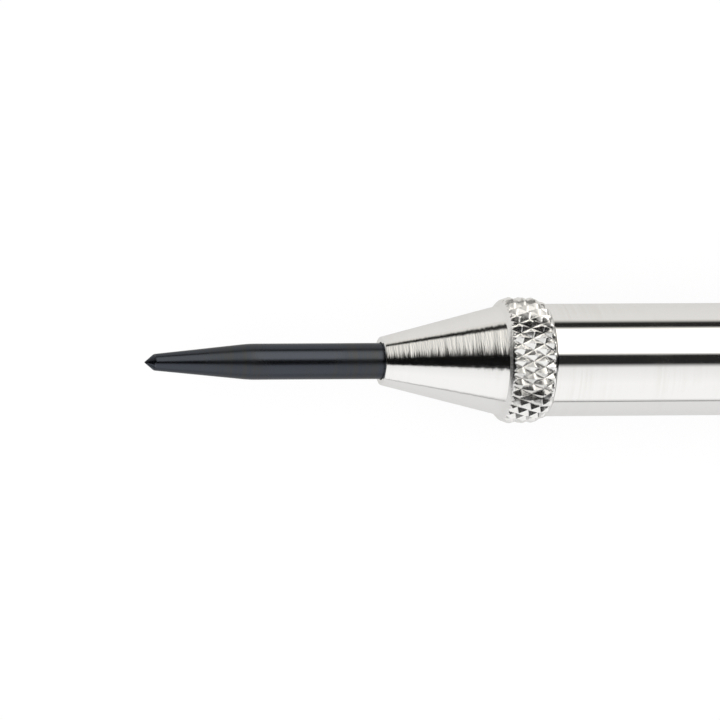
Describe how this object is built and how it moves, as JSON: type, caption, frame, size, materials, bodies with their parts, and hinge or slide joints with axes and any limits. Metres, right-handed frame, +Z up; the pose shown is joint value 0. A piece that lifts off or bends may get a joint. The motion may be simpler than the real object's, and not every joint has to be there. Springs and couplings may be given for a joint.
{
  "type": "automatic center punch",
  "caption": "Spring-loaded automatic center punch: black point in a bright cone nose with a knurled collar, smooth barrel and a knurled screw cap that sets the blow.",
  "frame": {"origin": "bottom centre of the lying tool's box, on the surface that it lies on", "axes": "+X along the tool from the tip to the cap, +Z up from the surface that it lies on"},
  "size_m": [0.126, 0.014, 0.014],
  "materials": {
    "bright_nickel": "bright nickel plate over turned steel, fine turning marks",
    "black_oxide": "black oxide on hardened and ground tool steel, satin",
    "ground_steel": "ground steel",
    "hardened_steel": "hardened steel, darkened by heat treatment, oiled",
    "spring_wire": "drawn music wire, oiled",
    "black_rubber": "black nitrile rubber"
  },
  "bodies": {
    "housing": {"barrel": "bright_nickel", "nose_cone": "bright_nickel", "trip_sleeve": "hardened_steel", "cap_ring": "black_rubber", "return_spring": "spring_wire"},
    "plunger": {"punch_point": "black_oxide", "spindle": "ground_steel"},
    "striker": {"hammer": "hardened_steel", "spring_washer": "ground_steel", "latch_spring": "spring_wire"},
    "latch": {"latch_block": "hardened_steel"},
    "rear_seat": {"spring_seat": "ground_steel", "main_spring": "spring_wire"},
    "cap": {"adjusting_cap": "bright_nickel"}
  },
  "joints": [
    {"name": "point_press", "type": "slide", "parent": "housing", "child": "plunger", "axis": [1, 0, 0], "range_m": [0, 0.0095], "stiffness_N_per_m": 9100, "deforming": ["return_spring", "main_spring"]},
    {"name": "hammer_slide", "type": "slide", "parent": "housing", "child": "striker", "axis": [1, 0, 0], "range_m": [0, 0.0095]},
    {"name": "latch_slide", "type": "slide", "parent": "striker", "child": "latch", "axis": [0, 0, -1], "range_m": [0, 0.00075], "deforming": ["latch_spring"]},
    {"name": "seat_slide", "type": "slide", "parent": "housing", "child": "rear_seat", "axis": [1, 0, 0], "range_m": [0, 0.004]},
    {"name": "cap_turn", "type": "hinge", "parent": "rear_seat", "child": "cap", "pos_m": [0.055, 0, 0.007], "axis": [1, 0, 0], "range_deg": [0, 1440]}
  ],
  "couplings": [
    {"joint": "hammer_slide", "follows": "point_press", "ratio": 1},
    {"joint": "latch_slide", "follows": "point_press", "ratio": 0.0789},
    {"joint": "cap_turn", "follows": "seat_slide", "rad_per_m": 6283.2}
  ]
}
